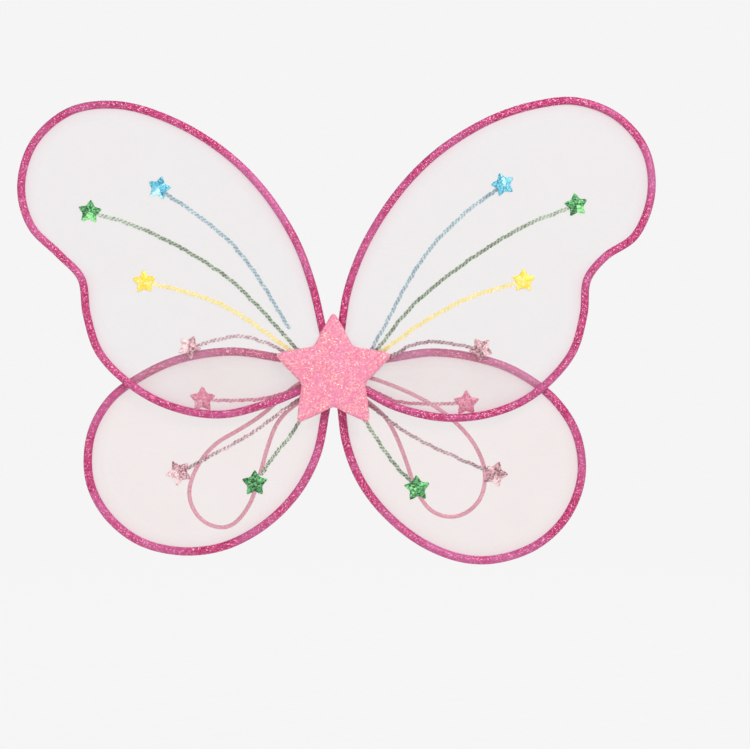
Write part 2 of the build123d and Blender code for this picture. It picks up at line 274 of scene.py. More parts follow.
def node(tree, kind, inputs=None, **settings):
    """Adds a node. inputs maps a socket's name or number to a value or another node's output."""
    made = tree.nodes.new(kind)
    for key, value in settings.items():
        setattr(made, key, value)
    for key, value in (inputs or {}).items():
        if isinstance(value, bpy.types.NodeSocket):
            tree.links.new(value, made.inputs[key])
        else:
            made.inputs[key].default_value = value
    return made


def ramp(tree, fac, stops, interpolation="LINEAR"):
    made = node(tree, "ShaderNodeValToRGB", {"Fac": fac})
    made.color_ramp.interpolation = interpolation
    while len(made.color_ramp.elements) < len(stops):
        made.color_ramp.elements.new(0.5)
    for element, (position, colour) in zip(made.color_ramp.elements, stops):
        element.position = position
        element.color = (*colour, 1)
    return made.outputs["Color"]


def grey_ramp(tree, fac, stops, interpolation="LINEAR"):
    return ramp(tree, fac, [(position, (level,) * 3) for position, level in stops], interpolation)


def srgb(r, g, b):
    """An sRGB colour, 0 to 255, as linear values."""
    def one(c):
        c /= 255
        return c / 12.92 if c <= 0.04045 else ((c + 0.055) / 1.055) ** 2.4
    return (one(r), one(g), one(b))


def place(tree):
    return node(tree, "ShaderNodeTexCoord").outputs["Object"]


def vector_math(tree, operation, inputs):
    return node(tree, "ShaderNodeVectorMath", inputs, operation=operation).outputs[0]


def tilted_normal(tree, random_colour, tilt):
    """The surface normal, turned a different way in each cell, as loose flakes lie."""
    normal = node(tree, "ShaderNodeNewGeometry").outputs["Normal"]
    turned = vector_math(tree, "SUBTRACT", {0: random_colour, 1: (0.5, 0.5, 0.5)})
    turned = vector_math(tree, "SCALE", {0: turned, "Scale": tilt})
    turned = vector_math(tree, "ADD", {0: normal, 1: turned})
    return vector_math(tree, "NORMALIZE", {0: turned})


def first_channel(tree, colour):
    return node(tree, "ShaderNodeSeparateColor", {0: colour}).outputs[0]


def multiplied(tree, a, b):
    return node(
        tree, "ShaderNodeMixRGB", {"Fac": 1.0, "Color1": a, "Color2": b}, blend_type="MULTIPLY"
    ).outputs[0]


def mixed(tree, fac, a, b):
    return node(tree, "ShaderNodeMixRGB", {"Fac": fac, "Color1": a, "Color2": b}).outputs[0]


def scaled_sum(tree, a, scale, b):
    """a times scale, plus b."""
    return node(
        tree, "ShaderNodeMath", {0: a, 1: scale, 2: b}, operation="MULTIPLY_ADD"
    ).outputs[0]


def finished(material, tree, shader):
    node(tree, "ShaderNodeOutputMaterial", {"Surface": shader.outputs[0]})
    return material


def principled(material, tree, inputs):
    return finished(material, tree, node(tree, "ShaderNodeBsdfPrincipled", inputs))


def glitter(
    name, flake, stops, tint, share, patch=11, tilt=0.5, metallic=0.35, roughness=0.38, sheen=0.2
):
    """Loose flakes stuck all over a fabric. stops are (share of flakes before it, colour).

    The flakes' colours lean towards tint by up to share, in patches about patch mm across.
    On the tubes, these patches are painted sheen.
    """
    material, tree = new_material(name)
    where = place(tree)
    cells = node(tree, "ShaderNodeTexVoronoi", {"Vector": where, "Scale": 1 / flake})
    patches = node(
        tree, "ShaderNodeTexNoise", {"Vector": where, "Scale": 1 / (patch * MM), "Detail": 3.0}
    )
    colour = ramp(tree, first_channel(tree, cells.outputs["Color"]), stops, "CONSTANT")
    leaning = grey_ramp(tree, patches.outputs["Fac"], [(0.42, 0.0), (0.68, share)])
    return principled(material, tree, {
        "Base Color": mixed(tree, leaning, colour, (*tint, 1)),
        "Metallic": metallic,
        "Roughness": roughness,
        "Sheen Weight": sheen,
        "Normal": tilted_normal(tree, cells.outputs["Color"], tilt),
    })


def tone_stops(dark, middle, light, painted_flash):
    """The ramp that turns a tone from 0 to 1 into a colour, with a painted flash of reflected
    light at its top.
    """
    return [(0.0, dark), (0.4, middle), (0.75, light), (1.0, painted_flash)]


def foil(name, flake, dark, middle, light, painted_flash):
    """Metallic foil set with fine flakes. Each facet takes its lightness from its tone; the
    highest tones are a painted flash of reflected light.
    """
    material, tree = new_material(name)
    cells = node(tree, "ShaderNodeTexVoronoi", {"Vector": place(tree), "Scale": 1 / flake})
    tone = node(tree, "ShaderNodeAttribute", attribute_name="tone").outputs["Fac"]
    speck = first_channel(tree, cells.outputs["Color"])
    dots = grey_ramp(tree, speck, [(0.0, 0.0), (0.3, 0.36), (0.72, 0.62)], "CONSTANT")
    speckled = node(tree, "ShaderNodeMath", {0: dots, 1: tone}, operation="ADD")
    return principled(material, tree, {
        "Base Color": ramp(tree, speckled.outputs[0], tone_stops(dark, middle, light, painted_flash)),
        "Metallic": 0.15,
        "Roughness": 0.45,
        "Coat Weight": 0.1,
        "Normal": tilted_normal(tree, cells.outputs["Color"], 0.3),
    })


def sequin(name, dark, middle, light, painted_flash):
    """Each sequin takes its colour from the tone painted on its faces."""
    material, tree = new_material(name)
    tone = node(tree, "ShaderNodeAttribute", attribute_name="tone").outputs["Fac"]
    speck = node(tree, "ShaderNodeTexNoise", {"Vector": place(tree), "Scale": 1500.0})
    shade = grey_ramp(tree, speck.outputs["Fac"], [(0.3, 0.9), (0.7, 1.0)])
    colour = ramp(tree, tone, tone_stops(dark, middle, light, painted_flash))
    return principled(material, tree, {
        "Base Color": multiplied(tree, colour, shade),
        "Metallic": 0.12,
        "Roughness": 0.4,
        "Coat Weight": 0.15,
    })


def organza(name, colour, hem_colour):
    """Sheer threads with gaps between them. The cloth is denser and pinker along its hem."""
    material, tree = new_material(name)
    where = place(tree)
    threads = []
    for turn in (45, -45):
        turned = node(
            tree, "ShaderNodeVectorRotate", {"Vector": where, "Angle": math.radians(turn)},
            rotation_type="Y_AXIS",
        )
        pitch = math.pi / (10 * THREAD_PITCH)
        wave = node(tree, "ShaderNodeTexWave", {"Vector": turned.outputs[0], "Scale": pitch})
        threads.append(wave.outputs["Fac"])
    weave = node(tree, "ShaderNodeMath", {0: threads[0], 1: threads[1]}, operation="ADD")
    hem = node(tree, "ShaderNodeAttribute", attribute_name="hem").outputs["Fac"]
    streaks = node(tree, "ShaderNodeTexNoise", {"Vector": where, "Scale": 24.0, "Detail": 3.0})
    cloudy = scaled_sum(tree, streaks.outputs["Fac"], CLOUD_COVER, BASE_COVER)
    woven = scaled_sum(tree, weave.outputs[0], THREAD_COVER, cloudy)
    pinker = grey_ramp(tree, hem, [(0.0, 0.0), (0.3, 0.7), (1.0, 1.0)])
    return principled(material, tree, {
        "Base Color": mixed(tree, pinker, (*colour, 1), (*hem_colour, 1)),
        "Roughness": 0.5,
        "Sheen Weight": 0.3,
        "Alpha": scaled_sum(tree, hem, HEM_COVER, woven),
    })


def brushed(name, colour, scale, bump, roughness=0.9, sheen=0.5, metallic=0.0):
    """Felt, brushed fabric, foam or drawn metal: mottled colour with a fine nap."""
    material, tree = new_material(name)
    where = place(tree)
    mottle = node(tree, "ShaderNodeTexNoise", {"Vector": where, "Scale": scale / 8, "Detail": 4.0})
    nap = node(tree, "ShaderNodeTexNoise", {"Vector": where, "Scale": scale, "Detail": 4.0})
    shade = grey_ramp(tree, mottle.outputs["Fac"], [(0.3, 0.8), (0.7, 1.0)])
    bump_inputs = {"Height": nap.outputs["Fac"], "Strength": bump, "Distance": 0.4 * MM}
    raised = node(tree, "ShaderNodeBump", bump_inputs)
    return principled(material, tree, {
        "Base Color": multiplied(tree, (*colour, 1), shade),
        "Roughness": roughness,
        "Metallic": metallic,
        "Sheen Weight": sheen,
        "Normal": raised.outputs[0],
    })


# The organza's threads, and how much of what is behind it each part of it covers
THREAD_PITCH = 0.5 * MM
BASE_COVER, CLOUD_COVER, THREAD_COVER, HEM_COVER = 0.125, 0.09, 0.035, 0.45
# The casing's palest flakes are partly its own pale glitter and partly painted glints, and its
# lighter violet patches, from the tint, are painted sheen strewn at random.
TUBE_GLITTER = glitter(
    "tube_glitter", 0.7 * MM,
    [
        (0.0, srgb(150, 32, 84)), (0.22, srgb(188, 48, 108)), (0.5, srgb(206, 60, 122)),
        (0.76, srgb(220, 98, 148)), (0.91, srgb(244, 178, 204)),
    ],
    srgb(208, 118, 170), 0.6, patch=45, roughness=0.46, sheen=0.0,
)
# The star's cream flakes are partly its own pale glitter and partly painted glints.
STAR_GLITTER = glitter(
    "star_glitter", 0.85 * MM,
    [
        (0.0, srgb(222, 122, 166)), (0.18, srgb(236, 130, 158)), (0.44, srgb(244, 146, 168)),
        (0.72, srgb(250, 168, 176)), (0.87, srgb(252, 198, 188)), (0.955, srgb(255, 228, 214)),
    ],
    srgb(238, 142, 180), 0.45, tilt=0.24, metallic=0.05, roughness=0.6,
)
STRAP_GLITTER = glitter(
    "strap_glitter", 0.6 * MM,
    [
        (0.0, srgb(204, 128, 156)), (0.2, srgb(226, 156, 178)), (0.6, srgb(236, 175, 192)),
        (0.92, srgb(249, 214, 224)),
    ],
    srgb(228, 180, 198), 0.5, metallic=0.15,
)
# Each colour's dark, middle and light colours, and last a painted flash of reflected light; the
# strands' shades below are set out the same way
FOIL_SHADES = {
    "blue": [(58, 122, 150), (92, 186, 214), (134, 220, 235), (216, 250, 252)],
    "green": [(34, 66, 42), (76, 146, 88), (112, 204, 124), (172, 250, 166)],
    "yellow": [(248, 208, 60), (255, 224, 70), (255, 232, 110), (255, 246, 180)],
    "mauve": [(124, 84, 88), (192, 144, 152), (228, 184, 190), (252, 224, 224)],
    "rose": [(196, 88, 122), (226, 120, 154), (242, 152, 178), (252, 204, 216)],
}
STRAND_SHADES = {
    "blue": [(124, 146, 156), (164, 188, 198), (196, 214, 220), (230, 240, 242)],
    "green": [(90, 96, 84), (140, 152, 132), (180, 194, 172), (214, 226, 208)],
    "yellow": [(251, 222, 120), (255, 234, 150), (255, 242, 182), (255, 248, 212)],
    "mauve": [(144, 110, 118), (194, 162, 168), (218, 192, 196), (240, 226, 228)],
    "rose": [(186, 100, 126), (216, 134, 156), (232, 164, 182), (246, 208, 218)],
}
# How light each strand is along its length, as (mm from the small star's middle, tone), on each
# level of lobes or on one lobe of its own
STRAND_TONES = {
    "upper": {
        "blue": [(0, 0.34), (16, 0.36), (26, 0.7), (90, 0.58), (130, 0.58), (170, 0.64)],
        "green": [(0, 0.86), (30, 0.84), (45, 0.66), (90, 0.56), (130, 0.6), (200, 0.62)],
        "yellow": [(0, 0.7), (160, 0.7)],
        "mauve": [(0, 0.58), (18, 0.6), (40, 0.68), (80, 0.54)],
    },
    "lower": {
        "rose": [(0, 0.72), (30, 0.64), (50, 0.48), (110, 0.38)],
        "mauve": [(0, 0.38), (18, 0.32), (40, 0.54), (80, 0.48), (120, 0.42)],
        "green": [(0, 0.46), (20, 0.52), (45, 0.66), (80, 0.66)],
    },
    "upper_right": {"mauve": [(0, 0.42), (18, 0.4), (40, 0.44), (80, 0.36)]},
}
ORGANZAS = {
    "upper": organza("organza_upper", srgb(206, 186, 190), srgb(212, 98, 144)),
    "lower": organza("organza_lower", srgb(220, 176, 173), srgb(212, 98, 144)),
}
FOILS = {
    c: foil(f"foil_{c}", 1.15 * MM, *(srgb(*s) for s in shades))
    for c, shades in FOIL_SHADES.items()
}
SEQUINS = {
    c: sequin(f"sequin_{c}", *(srgb(*s) for s in shades)) for c, shades in STRAND_SHADES.items()
}
FELT = brushed("felt", srgb(236, 150, 176), 2600, 0.6)
PAD_FABRIC = brushed("pad_fabric", srgb(240, 172, 192), 3400, 0.5)
RIBBON = brushed("ribbon", srgb(232, 150, 178), 2200, 0.4, roughness=0.6)
THREAD = brushed("thread", srgb(250, 214, 224), 5000, 0.3, roughness=0.6)
STEEL = brushed("steel", srgb(196, 196, 200), 1800, 0.1, roughness=0.35, sheen=0, metallic=1)


# ---------------- camera, lights, stage
CAMERA_LENS = 85
SENSOR_WIDTH = 36
PICTURE_WIDTH = 0.6  # what the picture takes in across, at the upper lobes
AIM = Vector((0.0331, lobe_y("upper_left"), -0.001))
BACKDROP_GREY = srgb(245, 245, 245)
FLOOR_Z = cad_low.z - 0.25


def make_camera():
    data = bpy.data.cameras.new("camera")
    data.lens, data.sensor_width = CAMERA_LENS, SENSOR_WIDTH
    camera = linked("camera", data)
    camera.location = AIM - Vector((0, PICTURE_WIDTH * CAMERA_LENS / SENSOR_WIDTH, 0))
    camera.rotation_euler = (math.pi / 2, 0, 0)
    bpy.context.scene.camera = camera


def make_light(name, spot, size, power):
    data = bpy.data.lights.new(name, "AREA")
    data.size, data.energy = size, power
    light = linked(name, data)
    light.location = spot
    light.rotation_euler = (AIM - Vector(spot)).to_track_quat("-Z", "Y").to_euler()


def make_stage():
    """A pale floor that sweeps up into a wall, far enough back to see the object from behind."""
    material, tree = new_material("pale_paper")
    grain = node(tree, "ShaderNodeTexNoise", {"Vector": place(tree), "Scale": 60.0})
    shade = grey_ramp(tree, grain.outputs["Fac"], [(0.3, 0.99), (0.7, 1.0)])
    paper = multiplied(tree, (*BACKDROP_GREY, 1), shade)
    matt = node(tree, "ShaderNodeBsdfDiffuse", {"Color": paper})
    glow = node(tree, "ShaderNodeEmission", {"Color": paper, "Strength": 1.012})
    both = node(tree, "ShaderNodeMixShader", {0: 0.97, 1: matt.outputs[0], 2: glow.outputs[0]})
    finished(material, tree, both)
    reach, bend = 6.0, 1.5
    section = [(-reach, 0.0)]
    for k in range(13):
        angle = math.pi / 2 * k / 12
        section.append((reach - bend + bend * math.sin(angle), bend - bend * math.cos(angle)))
    section.append((reach, reach))
    verts = [(x, y, FLOOR_Z + z) for x in (-reach, reach) for y, z in section]
    n = len(section)
    faces = [(k, n + k, n + k + 1, k + 1) for k in range(n - 1)]
    floor = linked("sweep", new_mesh("sweep", verts, faces, material))
    make_surround(material, 1.8 * reach)


def make_surround(material, reach):
    """A wide drum of the same paper, which only the camera sees, where the sweep is open."""
    sides = 96
    verts = []
    for z in (-0.5 * reach, reach):
        for k in range(sides):
            angle = 2 * math.pi * k / sides
            verts.append((reach * math.cos(angle), reach * math.sin(angle), z))
    faces = band_faces(2, sides)
    faces += [tuple(range(sides)), tuple(range(2 * sides - 1, sides - 1, -1))]
    drum = linked("surround", new_mesh("surround", verts, faces, material))
    drum.visible_diffuse = drum.visible_glossy = drum.visible_shadow = False
    drum.visible_transmission = drum.visible_volume_scatter = False


def make_world():
    world = bpy.data.worlds.new("studio")
    bpy.context.scene.world = world
    world.use_nodes = True
    background = world.node_tree.nodes["Background"]
    background.inputs["Color"].default_value = (1, 1, 1, 1)
    background.inputs["Strength"].default_value = 0.62
    bpy.context.scene.view_settings.view_transform = "Standard"


make_camera()
make_world()
make_stage()
make_light("key", (0.9, -1.5, 1.4), 0.6, 22)
make_light("fill", (-1.4, -1.3, 0.2), 1.2, 5)
make_light("rim", (0.3, 1.6, 1.2), 1.0, 10)


# ---------------- glitter tubes
TUBE_STEP = 0.9 * MM
TUBE_SIDES = 30
# The casing's mean radius and the sizes of its unevenness, as shares of its CAD radius
TUBE_MEAN, TUBE_SWELL, TUBE_PUCKER, TUBE_GRAIN = 0.99, 0.012, 0.01, 0.012


def make_tube(lobe):
    line = curve_through(in_plane(LOBES[lobe], lobe_y(lobe)), TUBE_STEP)
    radius = tube_radius(lobe)

    def radius_at(i, angle):
        """The fabric casing's soft outline: slow swells, fine puckers and a grainy surface."""
        p = line[i]
        round_way = Vector((math.cos(angle), math.sin(angle), 0))
        swell = noise.noise(p * 45)
        pucker = noise.noise(p * 420 + round_way * 1.5)
        grain = noise.noise(p * 1900 + round_way * 9)
        uneven = TUBE_SWELL * swell + TUBE_PUCKER * pucker + TUBE_GRAIN * grain
        return radius * (TUBE_MEAN + uneven)

    verts, faces = planar_tube(line, radius_at, TUBE_SIDES)
    tube = make_object(f"glitter_tube_{lobe}", verts, faces, TUBE_GLITTER, wing_of(lobe))
    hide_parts(f"casing_{lobe}")
    return tube


# ---------------- organza panels
PANEL_STEP = 2.6 * MM
PANEL_RINGS = 42
PLEATS, PLEAT_DEPTH, PLEAT_FADE = 46, 0.5 * MM, 0.05
RIPPLE_DEPTH = 0.25 * MM
SEWN_IN = 1.2 * MM  # how far the cloth's edge runs into the tube
# The hem's density, as (mm in from the cloth's edge, density)
HEM_STEPS = [(1.2, 0.9), (1.9, 0.58), (2.7, 0.32), (3.8, 0.17), (5.4, 0.08), (8.2, 0.0)]


def cloth_edge(lobe, line):
    """The cloth's closed edge, inside the tube and across the notch, and its ways inward."""
    side, level = (-1 if lobe.endswith("left") else 1), level_of(lobe)
    reach = tube_radius(lobe) - SEWN_IN
    aside = [side * way.cross(DEPTH) for way in directions(line)]
    notch = in_plane([(side * x, z) for x, z in PANEL_NOTCHES[level]], line[0].y)
    corners = [line[-1] + reach * aside[-1], *notch, line[0] + reach * aside[0]]
    across = []
    for a, b in zip(corners, corners[1:]):
        count = max(1, round((b - a).length / PANEL_STEP))
        across += [a.lerp(b, k / count) for k in range(0 if across else 1, count)]
    edge = [p + reach * a for p, a in zip(line, aside)] + across
    return edge, aside + [None] * len(across)


def make_panel(lobe):
    """Taut cloth: pleats fan out of the hub and die away, and long tension ripples cross it."""
    line = curve_through(in_plane(LOBES[lobe], lobe_y(lobe)), PANEL_STEP)
    middle = in_plane([LOBE_MIDDLES[lobe]], lobe_y(lobe))[0]
    hub = Vector((0, middle.y, 0))
    edge, aside = cloth_edge(lobe, line)
    rings, densities = [edge], [1.0]
    for step, density in HEM_STEPS:
        ring = []
        for p, a in zip(edge, aside):
            inward = (middle - p).normalized()
            facing = 1.0 if a is None else max(0.5, inward.dot(a))
            ring.append(p + inward * step * MM / facing)
        rings.append(ring)
        densities.append(density)
    base = rings[-1]
    for k in range(1, PANEL_RINGS):
        fade = min(1.0, k / 5)
        ring = []
        for p in base:
            v = p.lerp(middle, k / PANEL_RINGS)
            reach = (v - hub).length
            angle = math.atan2(v.z, v.x)
            pleat = PLEAT_DEPTH * math.sin(PLEATS * angle) * math.exp(-reach / PLEAT_FADE)
            ripple = RIPPLE_DEPTH * noise.noise(Vector((reach * 9, angle * 16, 3)))
            v.y += fade * (pleat + ripple)
            ring.append(v)
        rings.append(ring)
        densities.append(0.0)
    count = len(edge)
    verts = [v for ring in rings for v in ring] + [middle]
    hem = [density for density in densities for _ in range(count)] + [0.0]
    faces = band_faces(len(rings), count)
    start, last = (len(rings) - 1) * count, len(verts) - 1
    faces += [(start + k, start + (k + 1) % count, last) for k in range(count)]
    panel = make_object(
        f"organza_{lobe}", verts, faces, ORGANZAS[level_of(lobe)], wing_of(lobe)
    )
    attribute = panel.data.attributes.new("hem", "FLOAT", "POINT")
    attribute.data.foreach_set("value", hem)
    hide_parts(f"panel_{lobe}")


# ---------------- stars
STAR_POINTS = 5
STAR_ROUNDING = 3.2 * MM  # how far in from the centre star's side its edge has turned
STAR_DOME = 0.75 * MM
STAR_RIM = 1.3 * MM
STAR_DENT, STAR_CRINKLE = 0.22 * MM, 0.08 * MM
SMALL_STAR_GRAIN, SMALL_STAR_WOBBLE = 0.1 * MM, 0.3 * MM
SMALL_STAR_RIM = 0.3  # of its whole depth


def star_corners(tip, inner, turn):
    corners = []
    for k in range(2 * STAR_POINTS):
        angle = math.pi / 2 + math.radians(turn) + k * math.pi / STAR_POINTS
        reach = tip if k % 2 == 0 else inner
        corners.append(Vector((reach * math.cos(angle), 0, reach * math.sin(angle))))
    return corners


def soft_outline(corners, tip_cut, valley_cut, bulge, steps, corner_steps=5):
    """The corners rounded off and the sides a little full."""
    outline = []
    n = len(corners)
    for k, corner in enumerate(corners):
        before, after = corners[k - 1], corners[(k + 1) % n]
        cut = tip_cut if k % 2 == 0 else valley_cut
        a = corner + (before - corner).normalized() * cut
        b = corner + (after - corner).normalized() * cut
        outline += [rounded(a, corner, b, s / corner_steps) for s in range(corner_steps)]
        next_cut = valley_cut if k % 2 == 0 else tip_cut
        c = after + (corner - after).normalized() * next_cut
        side_way = (c - b).normalized()
        out = Vector((side_way.z, 0, -side_way.x))
        for s in range(steps):
            t = s / steps
            outline.append(b.lerp(c, t) + out * bulge * 4 * t * (1 - t))
    return outline


def star_solid(outline, middle, rear_y, shares, height_at, rear_in=0.0):
    """A closed star: a flat rear, then rings drawn in to the middle at height_at(share, point)."""
    count = len(outline)
    verts = [middle + p * (1 - rear_in) for p in outline]
    for v in verts:
        v.y = rear_y
    for share in shares:
        for p in outline:
            v = middle + p * share
            v.y = rear_y - height_at(share, p * share)
            verts.append(v)
    for y in (rear_y - height_at(0.0, Vector((0, 0, 0))), rear_y):
        verts.append(Vector((middle.x, y, middle.z)))
    faces = band_faces(len(shares) + 1, count)
    start = len(shares) * count
    apex, base = len(verts) - 2, len(verts) - 1
    faces += [(start + k, start + (k + 1) % count, apex) for k in range(count)]
    faces += [((k + 1) % count, k, base) for k in range(count)]
    return verts, faces


def edge_reach(tip, inner):
    """How far the star's straight sides are from its middle."""
    half = math.pi / STAR_POINTS
    side = math.sqrt(tip * tip + inner * inner - 2 * tip * inner * math.cos(half))
    return tip * inner * math.sin(half) / side


def make_centre_star():
    """Glitter cloth wrapped over foam: a soft rounded edge, a full face and faint dents."""
    reach = edge_reach(STAR_TIP_RADIUS, STAR_INNER_RADIUS)
    full = STAR_REAR_Y - STAR_FRONT_Y
    corners = star_corners(STAR_TIP_RADIUS + 2 * MM, STAR_INNER_RADIUS, 0)
    outline = soft_outline(corners, 6 * MM, 3.5 * MM, 0.35 * MM, steps=26, corner_steps=9)
    edge_steps = [0, 0.15, 0.4, 0.8, 1.3, 1.9, 2.6, 3.4]
    shares = [1 - d * MM / reach for d in edge_steps]
    while shares[-1] > 0.06:
        shares.append(shares[-1] - 0.9 * MM / reach)

    def height_at(share, p):
        inside = reach * (1 - share)
        turn = min(1.0, inside / STAR_ROUNDING)
        side = math.sqrt(max(0.0, 1 - (1 - turn) ** 2))
        dome = STAR_DOME * (1 - share**2)
        dent = STAR_DENT * noise.noise(p * 70) + STAR_CRINKLE * noise.noise(p * 900)
        return STAR_RIM + (full - STAR_DOME - STAR_RIM) * side + dome + dent * turn

    verts, faces = star_solid(outline, Vector((0, 0, 0)), STAR_REAR_Y, shares, height_at)
    star = make_object("centre_star", verts, faces, STAR_GLITTER, "hub")
    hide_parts("star_cover", "star_foam")


def make_star_backing():
    low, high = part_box("star_backing")
    corners = star_corners(STAR_TIP_RADIUS - 0.6 * MM, STAR_INNER_RADIUS - 0.3 * MM, 0)
    outline = soft_outline(corners, 4 * MM, 3 * MM, 0.3 * MM, steps=14)
    shares = [1.0, 0.985] + [0.95 - 0.075 * k for k in range(12)]

    def height_at(share, p):
        soft = 0.75 if share == 1.0 else 1.0
        return (high.y - low.y) * soft - 0.04 * MM * abs(noise.noise(p * 300))

    verts, faces = star_solid(outline, Vector((0, 0, 0)), high.y, shares, height_at, 0.004)
    backing = make_object("felt_backing", verts, faces, FELT, "hub")
    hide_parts("star_backing")


# The tones of each star's facets that carry a painted reflection, of ten, anticlockwise from its
# top, and the tone that each colour's other facets are about
PAINTED_REFLECTION_FACETS = {
    "upper_left_blue": {4: 0.95, 5: 0.75, 3: 0.4}, "upper_left_green": {4: 0.7, 5: 0.8, 6: 0.45},
    "upper_left_mauve": {1: 0.55, 2: 0.6, 3: 0.7, 4: 0.8}, "upper_right_green": {5: 0.75, 6: 0.6},
    "upper_right_blue": {7: 0.3, 8: 0.25, 9: 0.3}, "upper_right_mauve": {5: 0.7, 7: 0.55},
    "lower_left_mauve": {1: 0.5, 2: 0.6, 3: 0.65, 4: 0.5}, "lower_left_rose": {3: 0.6, 4: 0.6},
    "lower_right_mauve": {5: 0.75, 6: 0.4}, "lower_right_green": {2: 0.35, 3: 0.3},
}
FACET_TONES = {"blue": 0.1, "green": 0.02, "yellow": 0.25, "mauve": 0.08, "rose": 0.12}


def make_small_star(lobe, colour, rng):
    """A puffy foil star: ridges from its middle to its blunt tips, over a pale rolled rim."""
    turn, ((x, z), *_) = SPRAYS[lobe][colour]
    level = level_of(lobe)
    low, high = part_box(f"star_{lobe}_{colour}")
    full = high.y - low.y
    tip = SMALL_TIP_RADIUS[level] * 1.04
    inner = SMALL_TIP_RADIUS[level] * SMALL_STAR_INNER_SHARE * 1.02
    corner_steps, side_steps = 5, 7
    middle = Vector((x * MM, 0, z * MM))
    outline = [
        p + p.normalized() * SMALL_STAR_WOBBLE * noise.noise((middle + p) * 800)
        for p in soft_outline(
            star_corners(tip, inner, turn), 2 * MM, 1.4 * MM, 0.1 * MM, side_steps, corner_steps
        )
    ]
    shares = [1.02, 1.0, 0.95, 0.88, 0.8] + [0.7 - 0.1 * k for k in range(7)]
    rim = SMALL_STAR_RIM * full

    def height_at(share, p):
        if share > 1.0:
            return rim * 0.4
        puff = (1 - share) ** 0.62
        grain = SMALL_STAR_GRAIN * noise.noise(p * 1100 + Vector((x, 0, z)))
        return rim + (full - rim) * puff + grain

    verts, faces = star_solid(outline, middle, high.y, shares, height_at)
    # The listed facets get a painted reflection: a lighter tone, as if they caught the light.
    painted_reflections = PAINTED_REFLECTION_FACETS.get(f"{lobe}_{colour}", {})
    plain = FACET_TONES[colour]
    facets = [painted_reflections.get(k, plain + rng.uniform(-0.08, 0.12)) for k in range(10)]
    count, per_facet = len(outline), corner_steps + side_steps
    tones = []
    for i in range(len(faces)):
        ring, k = divmod(i, count)
        facet = facets[(k - corner_steps // 2) // per_facet % 10]
        tones.append(max(facet, 0.4) if ring <= 1 else facet)
    star = make_object(f"puffy_star_{lobe}_{colour}", verts, faces, FOILS[colour], wing_of(lobe))
    paint_tones(star, tones)
    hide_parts(f"star_{lobe}_{colour}")


# ---------------- sequin strands
SEQUIN_RADII = {"blue": 1.6, "green": 1.6, "yellow": 1.8, "mauve": 1.5, "rose": 1.5}  # mm
SEQUIN_STEP = 1.6 * MM
SEQUIN_SIDES = 8
SEQUIN_THICKNESS = 0.14 * MM
SEQUIN_CUP = 0.12 * MM
SEQUIN_LEAN, SEQUIN_ROLL = 20, 10  # degrees
STRAND_WANDER, STRAND_SWAY = 0.8, 0.22  # mm, to either side
TONE_SPREAD, PAINTED_HALF_LIGHTING = 0.35, 0.22  # along a strand, and the painted light and shade between a sequin's two halves


def tone_along(stops, distance):
    for (d0, t0), (d1, t1) in zip(stops, stops[1:]):
        if distance <= d1:
            return t0 + (t1 - t0) * (distance - d0) / (d1 - d0)
    return stops[-1][1]


def make_strand(lobe, colour, rng):
    """A line of small cupped sequins, each tipped over the next like a roof tile."""
    low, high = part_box(f"strand_{lobe}_{colour}")
    _, route = SPRAYS[lobe][colour]
    line = curve_through(in_plane(route, 0.0), SEQUIN_STEP)
    level = level_of(lobe)
    stops = STRAND_TONES.get(lobe, {}).get(colour, STRAND_TONES[level][colour])
    start = SMALL_TIP_RADIUS[level] * 0.6
    middle_y = (low.y + high.y) / 2
    radius = SEQUIN_RADII[colour] * MM
    verts, faces, tones = [], [], []
    for i, (point, way) in enumerate(zip(line, directions(line))):
        gone = (point - line[0]).length
        if gone < start:
            continue
        lean = math.radians(SEQUIN_LEAN + rng.uniform(-6, 6))
        roll = math.radians(rng.uniform(-SEQUIN_ROLL, SEQUIN_ROLL))
        along_it = way * math.cos(lean) + DEPTH * math.sin(lean)
        across = way.cross(DEPTH)
        across = across * math.cos(roll) + along_it.cross(across) * math.sin(roll)
        normal = across.cross(along_it)
        if normal.y > 0:
            normal = -normal
        wander = STRAND_WANDER * noise.noise(point * 160 + Vector((0, 5, 0)))
        sway = wander + STRAND_SWAY * math.sin(i * 2.1) + rng.uniform(-0.1, 0.1)
        centre = Vector((point.x, middle_y, point.z)) + way.cross(DEPTH) * sway * MM
        first = len(verts)
        tone = tone_along(stops, gone / MM) + TONE_SPREAD * noise.noise(point * 300)
        for lift in (0.5, -0.5):
            for k in range(SEQUIN_SIDES):
                angle = 2 * math.pi * (k + 0.5) / SEQUIN_SIDES
                arm = math.cos(angle) * along_it + math.sin(angle) * across
                verts.append(centre + arm * radius + normal * lift * SEQUIN_THICKNESS)
        verts.append(centre + normal * (0.5 * SEQUIN_THICKNESS - SEQUIN_CUP))
        verts.append(centre - normal * (0.5 * SEQUIN_THICKNESS + SEQUIN_CUP))
        front, back = first + 2 * SEQUIN_SIDES, first + 2 * SEQUIN_SIDES + 1
        for k in range(SEQUIN_SIDES):
            a, b = first + k, first + (k + 1) % SEQUIN_SIDES
            c, d = a + SEQUIN_SIDES, b + SEQUIN_SIDES
            faces += [(a, b, front), (d, c, back), (b, a, c, d)]
            # One half of each sequin gets painted light and the other painted shade, swapping from
            # sequin to sequin.
            half = PAINTED_HALF_LIGHTING if (k < SEQUIN_SIDES / 2) == (i % 2 == 0) else -PAINTED_HALF_LIGHTING
            shown = min(1.0, max(0.0, tone + half + rng.uniform(-0.05, 0.05)))
            tones += [shown, shown, shown]
    name = f"sequins_{lobe}_{colour}"
    strand = make_object(name, verts, faces, SEQUINS[colour], wing_of(lobe), smooth=False)
    paint_tones(strand, tones)
    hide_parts(f"strand_{lobe}_{colour}")


# ---------------- arm loops
KNOT_TURNS = 3
KNOT_STRAND, KNOT_WIND, KNOT_LENGTH = 0.95 * MM, 1.6 * MM, 3.4 * MM
KNOT_SIDES, KNOT_STEPS = 8, 42


